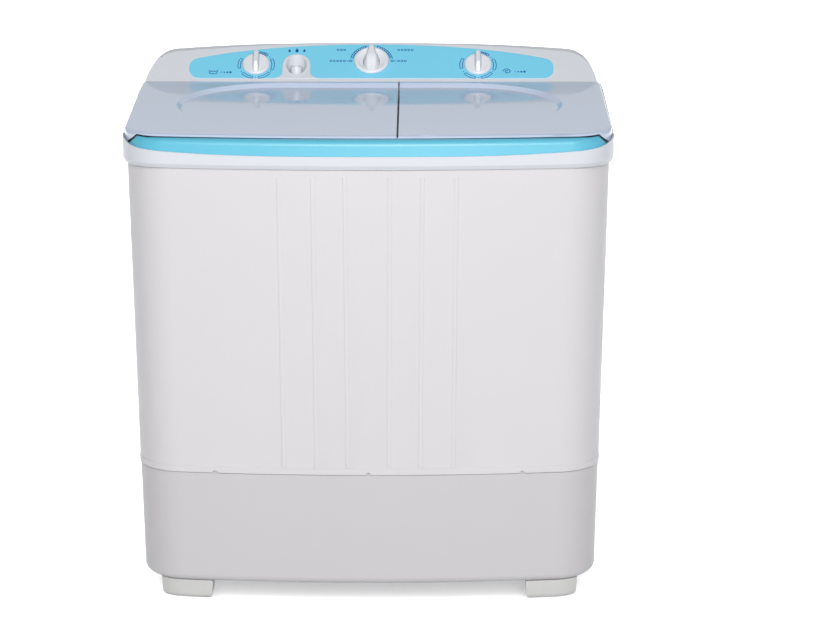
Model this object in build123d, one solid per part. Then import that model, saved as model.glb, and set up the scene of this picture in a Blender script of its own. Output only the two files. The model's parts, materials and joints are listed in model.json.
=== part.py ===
"""Twin tub washing machine: wash tub with pulsator on the left, spin tub with basket on the right.

Millimetres. +Z is up, the front faces -Y, +X is to the right seen from the front.
The origin is on the floor, at the centre of the bounding box.
"""

from build123d import *
from math import acos, atan2, cos, degrees, radians, sin, tan
import os

# ---------------------------------------------------------------- driving dimensions
WIDTH = 750.0
DEPTH = 440.0
CONSOLE_TOP_Z = 824.5
HALF = WIDTH / 2
FRONT_Y = -DEPTH / 2
BACK_Y = DEPTH / 2
WALL = 3.0

FOOT_H = 31.0
PAN_TOP_Z = FOOT_H + 7.0    # top of the pan that carries the spin motor
SEAM_Z = 212.0             # the cabinet stands on the base here
BAND_Z = 692.0             # bottom edge of the top frame's band
CABINET_TOP_Z = 700.0
BACK_WALL_Y = 214.0        # flat back of the base and the cabinet
FRAME_BACK_Y = 218.0

FOOT_X = 286.0
REAR_FOOT_Y = 168.0
PAN_W = 500.0
PAN_D = 285.0
PAN_Y = 12.5
SHADOW_GAP = 2.0           # groove between the base and the cabinet's lip
LIP_H = 10.0               # height of the cabinet's lip over the base
RIB_W = 9.0
RIB_H = 0.8
RIB_TOP_Z = 679.7

FRONT_BOW = 28.0           # how far the front bows out between its corners
CORNER_R = 74.0
BACK_CORNER_R = 22.0

LID_SLOPE = 5.56           # degrees, falling towards the front
LID_FRONT_Y = -198.0
LID_FRONT_Z = 739.4        # top of the lids at their front edge
LID_LENGTH = 329.6         # along the slope
LID_T = 3.0
LID_SKIRT = 14.0
LID_CORNER_SKIRT = 20.0    # the skirt is deeper round the front corners
LID_LIP = 3.4              # thickness of the front lip
LID_TONGUE_X = 349.0       # half width of the front lip, where the skirt is cut away
TONGUE_FLARE = 17.0        # how much wider that cut is at the bottom of the corner skirt
LID_SPLIT_X = 45.0
LID_GAP = 3.0
LID_EDGE_R = 7.0
RECESS_DEPTH = 6.0
HINGE_S = 313.0            # hinge axis, along the slope from the front edge
HINGE_DROP = 14.5          # hinge axis below the lids' top plane
HINGE_PIN_R = 3.0
HINGE_EYE_R = 4.6
HINGE_POST_T = 6.0
WASH_HINGES = (-330.0, 5.0)
SPIN_HINGES = (85.0, 330.0)
DECK_DROP = 36.0           # deck surface below the lids' top plane
RUNNING = 0.05             # radial clearance of a shaft in its hole

FACE_ANGLE = 39.0          # console face, degrees from the horizontal
FACE_Y = 132.0
FACE_Z = 771.0
FACE_LENGTH = 86.0
CONSOLE_BASE_Z = 757.5
CONSOLE_FRONT_Y = 139.0
CONSOLE_HALF = 366.0
CONSOLE_DROP = 16.0        # the console's top falls by this much towards its ends
CONSOLE_CORNER_R = 52.0
CONSOLE_WALL = 2.5
FASCIA_T = 1.0
KNOBS = {
    "wash_timer": {"x": -186.9, "v": 35.2, "r": 22.5, "box": 46.0},
    "mode": {"x": 0.0, "v": 43.4, "r": 28.5, "box": 40.0},
    "spin_timer": {"x": 172.8, "v": 35.2, "r": 22.5, "box": 46.0},
}
KNOB_LIFT = 1.5            # gap between the console face and a knob
KNOB_H = 17.5
SHAFT_R = 3.0
SNOUT_R = 6.0
INLET_X = -121.5
INLET_Y = 159.0
INLET_R = 16.5
INLET_WALL = 1.5
INLET_FLOOR_Z = 761.0
SPIGOT_R = 9.5
SPIGOT_TOP_Z = 789.0

TUB_TOP_Z = 696.0
TUB_FLOOR_Z = 330.0
TUB_FLANGE = 5.0
WASH_X = -154.0
WASH_Y = -7.0
WASH_W = 392.0
WASH_D = 354.0
WASH_CORNER_R = 80.0
WASH_TAPER = 8.0
SPIN_X = 205.0
SPIN_Y = -10.0
SPIN_R = 134.0
SPIN_MOUTH_R = 128.0
WASH_MOUTH = ((-335.0, -165.0), (22.0, 96.0))

PULSATOR_R = 150.0
PULSATOR_Z = 346.0
DRIVE_SHAFT_R = 8.0
PULLEY_R = 90.0
MOTOR_PULLEY_R = 20.0
PULLEY_Z = 185.0
PULLEY_W = 14.0
WASH_MOTOR_X = -28.0
WASH_MOTOR_Y = 62.0
WASH_MOTOR_R = 54.0

BASKET_R = 112.0
BASKET_Z = 352.0
BASKET_TOP_Z = 672.0
SPIN_SHAFT_R = 6.0
SPIN_MOTOR_R = 62.0
SPIN_MOTOR_TOP_Z = 190.0
DRUM_R = 45.0
DRUM_Z = 205.0
BRAKE_X = 275.0            # pivot of the brake lever
BRAKE_Y = 30.0

VALVE_X = -20.0
VALVE_Y = 190.0
VALVE_BORE_R = 12.05
DRAIN_PIPE_Z = 300.0
HOSE_R = 11.0
HOSE_BORE_R = 8.0
OUTLET_X = -220.0
OUTLET_Z = 125.0
OUTLET_WALL_Y = 180.0
OUTLET_R = 13.0
RECESS_HALF = 30.0         # half width and half height of the outlet's recess
GLAND_X = 300.0
GLAND_Z = 90.0

# ---------------------------------------------------------------- frames of reference
LID_PLACE = Pos(0, LID_FRONT_Y, LID_FRONT_Z) * Rot(LID_SLOPE, 0, 0)
HINGE_Y = LID_FRONT_Y + HINGE_S * cos(radians(LID_SLOPE)) + HINGE_DROP * sin(radians(LID_SLOPE))
HINGE_Z = LID_FRONT_Z + HINGE_S * sin(radians(LID_SLOPE)) - HINGE_DROP * cos(radians(LID_SLOPE))
FACE_PLACE = Pos(0, FACE_Y, FACE_Z) * Rot(FACE_ANGLE, 0, 0)


# ---------------------------------------------------------------- shared shapes
def outline(half, front_y, back_y, front_r, back_r, bow=FRONT_BOW, back_half=None):
    """Plan outline: bowed front, straight sides and back, rounded corners."""
    rear = half if back_half is None else back_half
    edges = Curve() + [
        ThreePointArc((-half, front_y + bow), (0, front_y), (half, front_y + bow)),
        Line((half, front_y + bow), (rear, back_y)),
        Line((rear, back_y), (-rear, back_y)),
        Line((-rear, back_y), (-half, front_y + bow)),
    ]
    face = make_face(edges)
    face = fillet(face.vertices().sort_by(Axis.Y)[:2], front_r)
    return fillet(face.vertices().sort_by(Axis.Y)[-2:], back_r) if back_r else face


def cabinet_size(z):
    """Half width of the cabinet and the depth of its front at height z; both grow upwards."""
    t = (z - SEAM_Z) / (CABINET_TOP_Z - SEAM_Z)
    return 360.6 + 8.2 * t, -206 - 8 * t


def cabinet_face(z, grow):
    """Outline of the cabinet at height z, grown by grow, its back never behind the flat back."""
    half, front_y = cabinet_size(z)
    inset = min(grow, 0)
    return Pos(0, 0, z) * outline(
        half + grow, front_y - grow, BACK_WALL_Y + inset, CORNER_R + grow, BACK_CORNER_R + inset
    )


def base_face(z, grow):
    """Outline of the base at height z, grown by grow, its back never behind the flat back."""
    t = (z - FOOT_H) / (SEAM_Z - FOOT_H)
    half, front_y = 356.2 + 3.8 * t, -201 - 3.6 * t
    inset = min(grow, 0)
    return Pos(0, 0, z) * outline(
        half + grow, front_y - grow, BACK_WALL_Y + inset, CORNER_R + grow, BACK_CORNER_R + inset
    )


def frame_face(z, inset):
    """Outline of the top frame, moved in by inset."""
    return Pos(0, 0, z) * outline(
        HALF - inset, FRONT_Y + inset, FRAME_BACK_Y - inset, CORNER_R - inset, BACK_CORNER_R + 3 - inset
    )


def between(face_at, low, high, grow=0.0):
    """Tapered solid between two heights of a family of outlines."""
    return loft([face_at(low, grow), face_at(high, grow)], ruled=True)


def box_between(low, high):
    """Box from its lowest and highest corner."""
    size = [h - l for l, h in zip(low, high)]
    centre = [(h + l) / 2 for l, h in zip(low, high)]
    return Pos(*centre) * Box(*size)


def rod(x, y, low, high, radius):
    """Upright cylinder."""
    return Pos(x, y, (low + high) / 2) * Cylinder(radius, high - low)


def tube(x, y, low, high, outer, inner):
    """Upright tube."""
    return Pos(x, y, low) * extrude(Circle(outer) - Circle(inner), high - low)


def rod_y(x, z, low, high, radius):
    """Cylinder along Y."""
    return Pos(x, (low + high) / 2, z) * Rot(90, 0, 0) * Cylinder(radius, high - low)


def rod_x(y, z, low, high, radius):
    """Cylinder along X."""
    return Pos((low + high) / 2, y, z) * Rot(0, 90, 0) * Cylinder(radius, high - low)


def turned(x, y, points):
    """Solid of revolution about an upright axis, from (radius, height) points."""
    return Pos(x, y, 0) * revolve(Plane.XZ * make_face(Polyline(*points, close=True)), Axis.Z)


def pipe(points, radii, outer, inner):
    """Hose along straight runs joined by tangent arcs."""
    path = FilletPolyline(*points, radius=radii)
    start = Plane(origin=path @ 0, z_dir=path % 0)
    return sweep(start * (Circle(outer) - Circle(inner)), path=path)


def above_lid_plane(drop, low_y, high_y):
    """Everything above the lids' top plane lowered by drop, between two values of y."""
    slab = LID_PLACE * Pos(0, 0, 200 - drop) * Box(900, 1200, 400)
    return slab & box_between((-450, low_y, 600), (450, high_y, 1000))


def on_face(x, v, h=0.0):
    """Placement on the console face: x across, v up the slope, h out of the face."""
    return FACE_PLACE * Pos(x, v, h)


def tub_face(z, inset):
    """Section of the wash tub at height z, moved in by inset."""
    shrink = WASH_TAPER * (TUB_TOP_Z - z) / (TUB_TOP_Z - TUB_FLOOR_Z) + inset
    face = RectangleRounded(WASH_W - 2 * shrink, WASH_D - 2 * shrink, WASH_CORNER_R - shrink)
    return Pos(WASH_X, WASH_Y, z) * face


PARTS = {}


def keep(name, shape):
    """Files a piece under its node name."""
    solids = shape.solids()
    PARTS[name] = solids[0] if len(solids) == 1 else Compound(children=list(solids))


# ---------------------------------------------------------------- lower housing
def make_feet():
    """Four moulded feet; the front pair follow the curve of the base above them."""
    plinth = loft([Pos(0, 0, -FOOT_H) * base_face(FOOT_H, -9.0), base_face(FOOT_H, -5.0)], ruled=True)
    feet = []
    for x in (-FOOT_X, FOOT_X):
        for y, depth in ((-157, 78), (REAR_FOOT_Y, 70)):
            sole = RectangleRounded(78, depth - 6, 14)
            top = Pos(0, 0, FOOT_H) * RectangleRounded(82, depth, 16)
            foot = (Pos(x, y, 0) * loft([sole, top], ruled=True)) & plinth
            feet.append(fillet(foot.faces().sort_by(Axis.Z)[0].edges(), 9))
    keep("feet", Compound(children=feet))


def make_base():
    """Wall of the base with a neck that the cabinet slips over, its flat rear panel and its bottom flange."""
    bottom_r, lip = 12.0, 14.0
    flange_top = FOOT_H + 4
    neck_low, neck_high = SEAM_Z - 12, SEAM_Z + 18
    shell = between(base_face, FOOT_H, SEAM_Z)
    shell = fillet(shell.faces().sort_by(Axis.Z)[0].edges(), bottom_r)
    shell += between(base_face, neck_low, neck_high, -WALL)
    shell -= loft([base_face(flange_top, -10.0), base_face(flange_top + 8, -WALL)], ruled=True)
    shell -= between(base_face, flange_top + 8, neck_low, -WALL)
    shell -= between(base_face, neck_low - 0.5, neck_high + 1, -2 * WALL)
    middle = between(base_face, FOOT_H - 1, FOOT_H + 10, -lip)
    shell -= middle
    flange = middle & box_between((-400, -300, FOOT_H), (400, 300, flange_top))
    flange -= Pos(0, PAN_Y, FOOT_H - 1) * extrude(RectangleRounded(PAN_W - 30, PAN_D - 30, 20), 10)
    keep("base_flange", flange)
    shoulder = between(base_face, SEAM_Z - SHADOW_GAP, SEAM_Z + 1, 1.0)
    shell -= shoulder - between(base_face, SEAM_Z - 3, SEAM_Z + 2, -1.5)
    shell -= recess_box(WALL, BACK_WALL_Y - 8, BACK_WALL_Y + 1)
    shell -= rod_y(GLAND_X, GLAND_Z, BACK_WALL_Y - 6, BACK_WALL_Y + 2, 9.0)
    rear = box_between((-325, BACK_WALL_Y - 12, FOOT_H + 16), (325, BACK_WALL_Y + 1, neck_high + 1))
    keep("base_rear", shell & rear)
    keep("base", shell - rear)


def make_base_pan():
    """Pan on the base's flange: it carries the spin motor and lets air in through slots."""
    pan = Pos(0, PAN_Y, FOOT_H + 4) * extrude(RectangleRounded(PAN_W, PAN_D, 28), 3)
    slot = Pos(0, -10, FOOT_H) * extrude(SlotOverall(120, 8, rotation=90), 10)
    slots = [Pos(x, 0, 0) * slot for x in range(-170, 61, 23)]
    keep("base_pan", pan - Compound(children=slots))


def recess_box(grow, low_y, high_y):
    """Block round the axis of the drain outlet, grown by grow."""
    side = 2 * (RECESS_HALF + grow)
    return Pos(OUTLET_X, (low_y + high_y) / 2, OUTLET_Z) * Box(side, high_y - low_y, side)


def make_hose_recess():
    """Box let into the base's back wall, which the drain outlet stands in."""
    recess = recess_box(WALL, OUTLET_WALL_Y - WALL, BACK_WALL_Y)
    recess += recess_box(8.0, BACK_WALL_Y, BACK_WALL_Y + 1.5)
    recess -= recess_box(0.0, OUTLET_WALL_Y, BACK_WALL_Y + 5)
    recess -= rod_y(OUTLET_X, OUTLET_Z, OUTLET_WALL_Y - 5, OUTLET_WALL_Y + 5, OUTLET_R)
    keep("hose_recess", recess)


# ---------------------------------------------------------------- cabinet
def cabinet_front_y(x, z):
    """Depth of the cabinet's bowed front at x, at height z."""
    half, front_y = cabinet_size(z)
    radius = (half**2 + FRONT_BOW**2) / (2 * FRONT_BOW)
    return front_y + radius - (radius**2 - x**2) ** 0.5


def front_rib(low_x, high_x):
    """Shallow rib with sloping sides, which leans a little outwards towards its top."""
    sections = []
    for x, z in ((low_x, SEAM_Z + LIP_H + 0.6), (high_x, RIB_TOP_Z)):
        y = cabinet_front_y(x, z)
        section = Polyline(
            (x - RIB_W / 2, y + 0.6),
            (x + RIB_W / 2, y + 0.6),
            (x + RIB_W / 4, y - RIB_H),
            (x - RIB_W / 4, y - RIB_H),
            close=True,
        )
        sections.append(Pos(0, 0, z) * make_face(section))
    return loft(sections, ruled=True)


def make_cabinet():
    shell = between(cabinet_face, SEAM_Z, CABINET_TOP_Z)
    shell -= between(cabinet_face, SEAM_Z - 1, CABINET_TOP_Z + 1, -WALL)
    shell -= box_between((-325, BACK_WALL_Y - 8, 226), (325, BACK_WALL_Y + 5, 674))
    flat = Rectangle(650, 448) - RectangleRounded(600, 420, 12)
    frame = Pos(0, BACK_WALL_Y, 450) * Rot(90, 0, 0) * extrude(flat, WALL)
    holes = [rod_y(x, z, BACK_WALL_Y - 5, BACK_WALL_Y + 5, 1.8) for x, z in panel_screw_places()]
    shell += frame - Compound(children=holes)
    lip = between(cabinet_face, SEAM_Z, SEAM_Z + LIP_H, 0.8)
    shell += lip - between(cabinet_face, SEAM_Z - 1, SEAM_Z + LIP_H + 1, -1.0)
    for side in (-1, 1):
        for low_x, high_x in ((31.5, 34.0), (80.0, 82.5), (130.5, 133.5)):
            shell += front_rib(side * low_x, side * high_x)
    notches = []
    for x in (-237.5, 0, 237.5):
        notch = Polyline(
            (x - 5.5, SEAM_Z - 1),
            (x + 5.5, SEAM_Z - 1),
            (x + 1, SEAM_Z + 4),
            (x - 2, SEAM_Z + 4),
            close=True,
        )
        notches.append(Pos(0, -170, 0) * extrude(Plane.XZ * make_face(notch), 60))
    shell -= Compound(children=notches)
    keep("cabinet", shell)


def panel_screw_places():
    """Screws round the edge of the rear panel."""
    sides = [(x, z) for x in (-307.5, 307.5) for z in (245, 450, 655)]
    return sides + [(0, 233.0), (0, 667.0)]


def make_rear_panel():
    blank = Pos(0, 0, 450) * Plane.XZ.location * RectangleRounded(630, 450, 8)
    plate = Pos(0, BACK_WALL_Y + 1.5, 0) * extrude(blank, 1.5)
    ring = RectangleRounded(540, 360, 20) - RectangleRounded(520, 340, 12)
    bead = Pos(0, 0, 450) * Plane.XZ.location * ring
    plate += Pos(0, BACK_WALL_Y + 2.7, 0) * extrude(bead, 1.2)
    slots = []
    for row in range(6):
        for column in (-200, -130, 130, 200):
            slot = Pos(column, 0, 300 + 14 * row) * Plane.XZ.location * SlotOverall(56, 5)
            slots.append(Pos(0, BACK_WALL_Y + 5, 0) * extrude(slot, 10))
    plate -= Compound(children=slots)
    for x, z in panel_screw_places():
        plate -= rod_y(x, z, BACK_WALL_Y - 5, BACK_WALL_Y + 5, 2.0)
    keep("rear_panel", plate)
    screw = rod_y(0, 0, BACK_WALL_Y - 8, BACK_WALL_Y + 2, 1.8)
    head = Pos(0, BACK_WALL_Y + 4, 0) * Rot(90, 0, 0) * extrude(Circle(4), 2.5)
    screw += head - Pos(0, BACK_WALL_Y + 4, 0) * Box(5, 2, 1)
    keep("panel_screws", Compound(children=[Pos(x, 0, z) * screw for x, z in panel_screw_places()]))


# ---------------------------------------------------------------- top frame and trim
def make_top_frame():
    rear_z = CONSOLE_BASE_Z
    skirt_z = CABINET_TOP_Z
    riser_y, riser_t = -178.0, 3.0
    outer = between(frame_face, BAND_Z + 6, rear_z)
    lower = loft([frame_face(BAND_Z, 2.8), frame_face(BAND_Z + 6, 0.0)], ruled=True)
    inner = between(frame_face, BAND_Z - 1, rear_z + 1, WALL)
    frame = outer + lower - inner
    # the front edge dips between the corners, the sides follow the lids
    dip = Spline(
        (-380, 735), (-362, 724), (-330, 718.5), (0, 712), (330, 718.5), (362, 724), (380, 735)
    )
    above_dip = make_face(Curve() + [dip, Polyline((380, 735), (380, 800), (-380, 800), (-380, 735))])
    frame -= Pos(0, -115, 0) * extrude(Plane.XZ * above_dip, 150)
    frame -= above_lid_plane(LID_SKIRT + 0.5, -115.5, CONSOLE_FRONT_Y - 1)
    # ledge on the cabinet's top edge, wider under the front trim
    ledge = between(frame_face, skirt_z, skirt_z + 4, WALL - 0.2)
    hole = between(frame_face, skirt_z - 1, skirt_z + 5, 12.0)
    ledge -= hole & box_between((-400, riser_y + riser_t, 600), (400, 300, 800))
    frame += ledge
    inside = between(frame_face, skirt_z, rear_z, WALL - 0.2)
    riser = box_between((-400, riser_y, skirt_z), (400, riser_y + riser_t, 760))
    deck = (LID_PLACE * Pos(0, 0, -DECK_DROP - WALL / 2) * Box(900, 1000, WALL)) & box_between(
        (-400, riser_y, 600), (400, CONSOLE_FRONT_Y + CONSOLE_WALL, 800)
    )
    frame += inside & (riser - above_lid_plane(DECK_DROP, -300, 300))
    frame += inside & deck
    # rear shelf that carries the console
    shelf_low = rear_z - 3
    riser_back = CONSOLE_FRONT_Y + CONSOLE_WALL
    back_riser = box_between((-400, CONSOLE_FRONT_Y, 738), (400, riser_back, rear_z))
    shelf = box_between((-400, CONSOLE_FRONT_Y, shelf_low), (400, 300, rear_z))
    shelf -= box_between((-350, CONSOLE_FRONT_Y + 1, 700), (350, 207, 800))
    frame += inside & (back_riser + shelf)
    # mouths and the collars that hang from them
    (x0, y0), (x1, y1) = WASH_MOUTH
    centre = ((x0 + x1) / 2, (y0 + y1) / 2)
    size = (x1 - x0, y1 - y0)
    under_deck = box_between((-400, -300, TUB_TOP_Z), (400, 300, 800))
    under_deck -= above_lid_plane(DECK_DROP, -300, 300)
    mouth = RectangleRounded(size[0], size[1], 60)
    rim = RectangleRounded(size[0] + 2 * WALL, size[1] + 2 * WALL, 60 + WALL)
    lift = Pos(centre[0], centre[1], 690)
    frame += (lift * extrude(rim, 80)) & under_deck
    frame += rod(SPIN_X, SPIN_Y, 690, 780, SPIN_MOUTH_R + 5) & under_deck
    for x, y in ((-351, -110), (-351, 80), (43, -110), (43, 80)):
        frame += rod(x, y, 690, 780, 4) & under_deck
    frame -= lift * extrude(mouth, 80)
    frame -= rod(SPIN_X, SPIN_Y, 690, 780, SPIN_MOUTH_R)
    for x in WASH_HINGES + SPIN_HINGES:
        frame += hinge_post(x)
    keep("top_frame", frame)


def hinge_post(x):
    """Upright eye that carries a lid's pin."""
    foot = box_2d(HINGE_Y - 7, HINGE_Z - 24, HINGE_Y + 5, HINGE_Z - 22)
    eye = Pos(HINGE_Y, HINGE_Z) * Circle(HINGE_EYE_R)
    flat = make_hull(foot.edges() + eye.edges()) - Pos(HINGE_Y, HINGE_Z) * Circle(HINGE_PIN_R + RUNNING)
    return Pos(x - HINGE_POST_T / 2, 0, 0) * extrude(Plane.YZ * flat, HINGE_POST_T)


def make_front_trim():
    """Hollow bar behind the frame's front, with thin tips that wrap round the corners."""
    low, high, tip_low = CABINET_TOP_Z + 4, 735.5, CABINET_TOP_Z + 13
    back_y, tip_back_y = -181.0, -138.0
    end_top = LID_TONGUE_X - 1.4
    end_low = end_top + (high - low) * TONGUE_FLARE / (LID_CORNER_SKIRT - LID_LIP)
    block = loft([frame_face(low, 3.4), frame_face(high, 7.0)], ruled=True)
    shoulder = block.faces().sort_by(Axis.Z)[-1].edges().filter_by(lambda e: e.center().Y < -150)
    block = fillet(shoulder, 9)
    front = Polyline(
        (-end_top, high + 1),
        (end_top, high + 1),
        (end_low, low),
        (-end_low, low),
        close=True,
    )
    block &= Pos(0, tip_back_y, 0) * extrude(Plane.XZ * make_face(front), 100)
    bar = block & box_between((-340, -300, 600), (340, back_y, 800))
    hollow = loft([frame_face(low - 1, 6.4), frame_face(high - 3, 10.0)], ruled=True)
    bar -= hollow & box_between((-337, -300, 600), (337, back_y + 1, 800))
    tips = block - loft([frame_face(low - 1, 9.0), frame_face(high + 1, 12.0)], ruled=True)
    for x in (-365, 365):
        bar += tips & box_between((x - 35, -300, tip_low), (x + 35, 0, 800))
    keep("front_trim", bar)


# ---------------------------------------------------------------- lids
def lid_outline(inset=0.0):
    """Outline of both lids together, in the plane of the lids."""
    return outline(372 - inset, inset, LID_LENGTH, 60 - inset, 0, bow=17.3, back_half=369.5 - inset)


def recess_face(inset, h):
    """Long oval, elliptical at both ends."""
    straight, a, b = 152.0, 150.0 - inset, 125.6 - inset
    edges = Curve() + [
        Line((-straight, -b), (straight, -b)),
        EllipticalCenterArc((straight, 0), a, b, start_angle=-90, arc_size=180),
        Line((straight, b), (-straight, b)),
        EllipticalCenterArc((-straight, 0), a, b, start_angle=90, arc_size=180),
    ]
    return Pos(0, 193.9, h) * make_face(edges)


def recess_block(top, bottom):
    """Bevelled oval block between two heights."""
    return loft([recess_face(0.0, top), recess_face(7.0, bottom)], ruled=True)


def make_lids():
    deep = LID_CORNER_SKIRT
    shell = Pos(0, 0, -deep) * extrude(lid_outline(), deep)
    rim = shell.faces().sort_by(Axis.Z)[-1].edges().filter_by(lambda e: e.center().Y < LID_LENGTH - 1)
    shell = fillet(rim, LID_EDGE_R)
    hollow = Pos(0, 0, -deep - 1) * extrude(lid_outline(LID_T), deep + 1 - LID_T)
    rim = hollow.faces().sort_by(Axis.Z)[-1].edges().filter_by(lambda e: e.center().Y < LID_LENGTH - 1)
    hollow = fillet(rim, LID_EDGE_R - LID_T)
    hollow += box_between((-366, 60, -deep - 1), (366, LID_LENGTH + 1, -LID_T))
    shell -= hollow + box_between((-400, 75, -deep - 1), (400, 400, -LID_SKIRT))
    wide = LID_TONGUE_X + TONGUE_FLARE
    tongue = Polyline(
        (-LID_TONGUE_X, -LID_LIP),
        (LID_TONGUE_X, -LID_LIP),
        (wide, -deep),
        (wide, -deep - 1),
        (-wide, -deep - 1),
        (-wide, -deep),
        close=True,
    )
    shell -= Pos(0, 60, 0) * extrude(Plane.XZ * make_face(tongue), 80)
    shell += recess_block(-LID_T, -RECESS_DEPTH - LID_T)
    wash_edge = LID_SPLIT_X - LID_GAP / 2
    spin_edge = LID_SPLIT_X + LID_GAP / 2
    wash = shell & box_between((-400, -50, -50), (wash_edge, 400, 50))
    spin = shell & box_between((spin_edge, -50, -50), (400, 400, 50))
    wash += split_skirt(wash_edge - LID_T)
    spin += split_skirt(spin_edge)
    for name, lid, hinges in (("wash", wash, WASH_HINGES), ("spin", spin, SPIN_HINGES)):
        pins = []
        for x, way in zip(hinges, (1, -1)):
            near, far = x + way * (HINGE_POST_T / 2 + 0.5), x + way * (HINGE_POST_T / 2 + 6.5)
            lid += hinge_lug(min(near, far), max(near, far))
            pin_ends = sorted((x - way * HINGE_POST_T / 2, far))
            pins.append(rod_x(HINGE_Y, HINGE_Z, pin_ends[0], pin_ends[1], HINGE_PIN_R))
        lid -= recess_block(0.01, -RECESS_DEPTH)
        keep(name + "_lid", LID_PLACE * lid)
        keep(name + "_lid_pins", Compound(children=pins))


def split_skirt(x):
    """Stiffening skirt along the split, hanging from the plate and the recess."""
    under_recess = -RECESS_DEPTH - LID_T / 2
    skirt = box_between((x, 62, -LID_SKIRT + 1), (x + LID_T, LID_LENGTH - 22, under_recess))
    for low_s, high_s in ((30, 66), (LID_LENGTH - 26, LID_LENGTH - 22)):
        skirt += box_between((x, low_s, -LID_SKIRT + 1), (x + LID_T, high_s, -LID_T / 2))
    return skirt


def hinge_lug(low_x, high_x):
    """Lug under a lid, bored for its pin."""
    root = Pos(HINGE_S, -LID_T + 0.5) * Rectangle(14, 1)
    eye = Pos(HINGE_S, -HINGE_DROP) * Circle(HINGE_EYE_R)
    flat = make_hull(root.edges() + eye.edges()) - Pos(HINGE_S, -HINGE_DROP) * Circle(HINGE_PIN_R)
    return Pos(low_x, 0, 0) * extrude(Plane.YZ * flat, high_x - low_x)


# ---------------------------------------------------------------- console
def console_profile(inset):
    """Side view of the console, moved in by inset."""
    ridge_y = FACE_Y + FACE_LENGTH * cos(radians(FACE_ANGLE))
    ridge_z = FACE_Z + FACE_LENGTH * sin(radians(FACE_ANGLE))
    points = [
        (FACE_Y, FACE_Z),
        (ridge_y, ridge_z),
        (BACK_Y, CONSOLE_TOP_Z - 6),
        (BACK_Y, CONSOLE_BASE_Z),
        (CONSOLE_FRONT_Y, CONSOLE_BASE_Z),
        (CONSOLE_FRONT_Y, FACE_Z - 7),
    ]
    face = make_face(Polyline(*points, close=True))
    ridge = face.vertices().sort_by_distance((ridge_y, ridge_z))[0]
    face = fillet(ridge, 10)
    back_top = face.vertices().sort_by_distance((BACK_Y, CONSOLE_TOP_Z - 6))[0]
    face = fillet(back_top, 12)
    if inset:
        face = offset(face, -inset)
        face += box_2d(CONSOLE_FRONT_Y + inset, CONSOLE_BASE_Z - 5, BACK_Y - inset, CONSOLE_BASE_Z + 10)
    return face


def box_2d(x0, y0, x1, y1):
    """Rectangle from two corners."""
    return Pos((x0 + x1) / 2, (y0 + y1) / 2) * Rectangle(x1 - x0, y1 - y0)


def console_solid(inset):
    """Console block: side view, front view and plan together."""
    half = CONSOLE_HALF - inset
    top = CONSOLE_TOP_Z - inset
    corner_z = top - CONSOLE_DROP
    low = CONSOLE_BASE_Z - 10
    front = make_face(
        Curve()
        + [
            ThreePointArc((-half, corner_z), (0, top), (half, corner_z)),
            Polyline((half, corner_z), (half, low), (-half, low), (-half, corner_z)),
        ]
    )
    front = fillet(front.vertices().sort_by(Axis.Y)[-2:], CONSOLE_CORNER_R - inset)
    block = extrude(Plane.YZ * console_profile(inset), 400, both=True)
    block &= extrude(Plane.XZ * front, 300, both=True)
    plan = outline(half, 60, BACK_Y - inset, 10, 20 - inset, bow=1)
    return block & (Pos(0, 0, 700) * extrude(plan, 200))


def make_console():
    shell = console_solid(0.0) - console_solid(CONSOLE_WALL)
    for knob in KNOBS.values():
        shell -= on_face(knob["x"], knob["v"]) * Cylinder(SNOUT_R + 0.3, 20)
    shell -= rod(INLET_X, INLET_Y, 740, 900, INLET_R + INLET_WALL + 0.3)
    keep("console_housing", shell)


def inlet_flange_face(grow):
    """Round inlet surround with flared feet, in the plane of the console face."""
    foot_v, round_v, r, flare = 7.4, 36.3, 22.3 + grow, 12.0
    neck = box_2d(-r, foot_v, r, round_v)
    shape = Pos(0, round_v) * Circle(r) + neck
    for side in (-1, 1):
        middle = side * (r + flare / 2)
        corner = box_2d(middle - flare / 2, foot_v, middle + flare / 2, foot_v + flare)
        shape += corner - Pos(side * (r + flare), foot_v + flare) * Circle(flare)
    return Pos(INLET_X, 0) * shape


def make_fascia():
    half, low_v, a, b, r = 295.0, 7.4, 360.0, 80.5, 18.0
    end_angle = degrees(acos(half / a))
    end_v = b * sin(radians(end_angle))
    face = make_face(
        Curve()
        + [
            EllipticalCenterArc((0, 0), a, b, start_angle=end_angle, arc_size=180 - 2 * end_angle),
            Polyline((-half, end_v), (-half, low_v), (half, low_v), (half, end_v)),
        ]
    )
    face = fillet(face.vertices(), r)
    face -= inlet_flange_face(0.3)
    for knob in KNOBS.values():
        face -= Pos(knob["x"], knob["v"]) * Circle(SNOUT_R + 0.5)
    keep("console_fascia", FACE_PLACE * extrude(face, FASCIA_T))


def make_inlet():
    below_face = FACE_PLACE * Pos(0, 0, -200 + FASCIA_T + 0.2) * Box(800, 600, 400)
    cup = FACE_PLACE * extrude(inlet_flange_face(0.0), FASCIA_T + 0.2)
    cup += rod(INLET_X, INLET_Y, INLET_FLOOR_Z - 3, 840, INLET_R + INLET_WALL) & below_face
    cup -= rod(INLET_X, INLET_Y, INLET_FLOOR_Z, 840, INLET_R)
    cup += rod(INLET_X, INLET_Y, TUB_TOP_Z + 4, SPIGOT_TOP_Z, SPIGOT_R)
    cup -= rod(INLET_X, INLET_Y, 680, 800, SPIGOT_R - 2.3)
    keep("inlet_cup", cup)


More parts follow.
